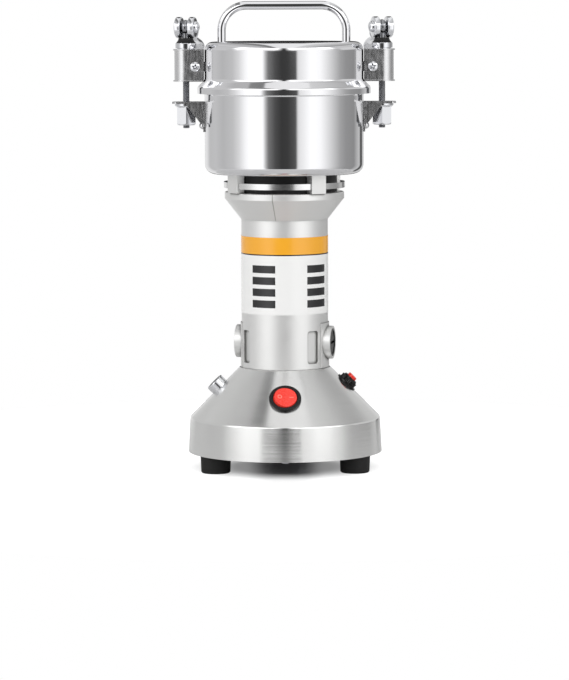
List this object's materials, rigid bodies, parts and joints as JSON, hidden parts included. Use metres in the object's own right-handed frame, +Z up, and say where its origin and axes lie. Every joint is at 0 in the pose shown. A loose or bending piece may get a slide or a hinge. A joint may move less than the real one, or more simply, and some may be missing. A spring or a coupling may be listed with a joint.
{
  "type": "electric grain mill",
  "caption": "Upright grinder: closed steel bowl with two spinning blades on a motor column and round base, lid held by two cam clamps.",
  "frame": {"origin": "on the table, at the centre of the base, on the motor axis", "axes": "+Z up along the motor axis, -Y to the front where the power switch is, +X to the reset button"},
  "size_m": [0.1606, 0.1398, 0.3365],
  "materials": {
    "stainless_spun": "spun and satin polished stainless steel",
    "stainless_mirror": "mirror polished stainless steel",
    "stainless_sheet": "polished stainless sheet",
    "cast_aluminium": "cast and bead blasted aluminium",
    "turned_aluminium": "turned aluminium",
    "zinc_steel": "zinc plated steel",
    "chrome_plate": "bright chrome plate",
    "steel_dark": "laminated electrical steel",
    "copper": "enamelled copper wire",
    "brass": "plain brass",
    "carbon": "pressed carbon",
    "black_plastic": "moulded black nylon",
    "black_rubber": "matt black rubber",
    "red_plastic": "moulded red polycarbonate",
    "white_silicone": "white silicone",
    "label_film": "printed plastic film",
    "fan_plastic": "moulded grey nylon"
  },
  "bodies": {
    "root": {"foot_front_left": "black_rubber", "foot_front_right": "black_rubber", "foot_rear": "black_rubber", "foot_screws": "zinc_steel", "base_cover": "stainless_spun", "base_ring": "zinc_steel", "bottom_plate": "zinc_steel", "plate_screws": "zinc_steel", "switch_housing": "black_plastic", "breaker_body": "black_plastic", "breaker_nut": "black_plastic", "cord_gland": "chrome_plate", "gland_locknut": "zinc_steel", "column_housing": "cast_aluminium", "column_screws": "zinc_steel", "motor_label": "label_film", "brush_caps": "black_plastic", "brush_holders": "brass", "carbon_brushes": "carbon", "brush_springs": "zinc_steel", "stator_core": "steel_dark", "field_coils": "copper", "lower_bearing": "chrome_plate", "upper_bearing": "chrome_plate", "neck_gasket": "black_rubber", "bearing_plate": "turned_aluminium", "bearing_plate_screws": "zinc_steel", "neck_spacer": "black_plastic", "bowl": "stainless_mirror", "bowl_screws": "zinc_steel", "shaft_seal": "white_silicone", "bowl_bracket_left": "stainless_sheet", "bowl_bracket_right": "stainless_sheet", "bracket_rivets": "stainless_sheet"},
    "rotor": {"motor_shaft": "zinc_steel", "armature_core": "steel_dark", "armature_windings": "copper", "commutator": "copper", "cooling_fan": "fan_plastic", "lower_blade": "stainless_sheet", "upper_blade": "stainless_sheet", "blade_spacers": "stainless_sheet", "blade_nut": "stainless_sheet"},
    "rocker": {"rocker_button": "red_plastic"},
    "reset": {"reset_button": "red_plastic"},
    "lid": {"lid": "stainless_mirror", "lid_seal": "white_silicone", "lid_handle": "stainless_mirror", "handle_nuts": "zinc_steel", "clamp_box_left": "stainless_sheet", "clamp_box_right": "stainless_sheet", "clamp_screws": "chrome_plate", "eye_bolts": "zinc_steel", "clamp_cups": "chrome_plate", "cam_seats": "black_plastic", "lever_pins": "chrome_plate"},
    "lever_left": {"cam_lever_left": "chrome_plate"},
    "lever_right": {"cam_lever_right": "chrome_plate"},
    "nut_left": {"clamp_nut_left": "chrome_plate"},
    "nut_right": {"clamp_nut_right": "chrome_plate"}
  },
  "joints": [
    {"name": "rotor_spin", "type": "hinge", "parent": "root", "child": "rotor", "pos_m": [0, 0, 0.1515], "axis": [0, 0, 1], "continuous": true},
    {"name": "rocker_tilt", "type": "hinge", "parent": "root", "child": "rocker", "pos_m": [0, -0.05065, 0.0551], "axis": [0, -0.7042, -0.71], "range_deg": [0, 14]},
    {"name": "reset_press", "type": "slide", "parent": "root", "child": "reset", "axis": [-0.71, 0, -0.7042], "range_m": [0, 0.0015], "stiffness_N_per_m": 250, "springref_m": -0.001},
    {"name": "lid_lift", "type": "slide", "parent": "root", "child": "lid", "axis": [0, 0, 1], "range_m": [0, 0.06]},
    {"name": "lever_left_flip", "type": "hinge", "parent": "lid", "child": "lever_left", "pos_m": [-0.0703, 0, 0.31815], "axis": [0.9659, -0.2588, 0], "range_deg": [0, 110]},
    {"name": "lever_right_flip", "type": "hinge", "parent": "lid", "child": "lever_right", "pos_m": [0.0703, 0, 0.31815], "axis": [0.9659, 0.2588, 0], "range_deg": [0, 110]},
    {"name": "nut_left_spin", "type": "hinge", "parent": "root", "child": "nut_left", "pos_m": [-0.0703, 0, 0.256], "axis": [0, 0, 1], "continuous": true},
    {"name": "nut_right_spin", "type": "hinge", "parent": "root", "child": "nut_right", "pos_m": [0.0703, 0, 0.256], "axis": [0, 0, 1], "continuous": true}
  ]
}
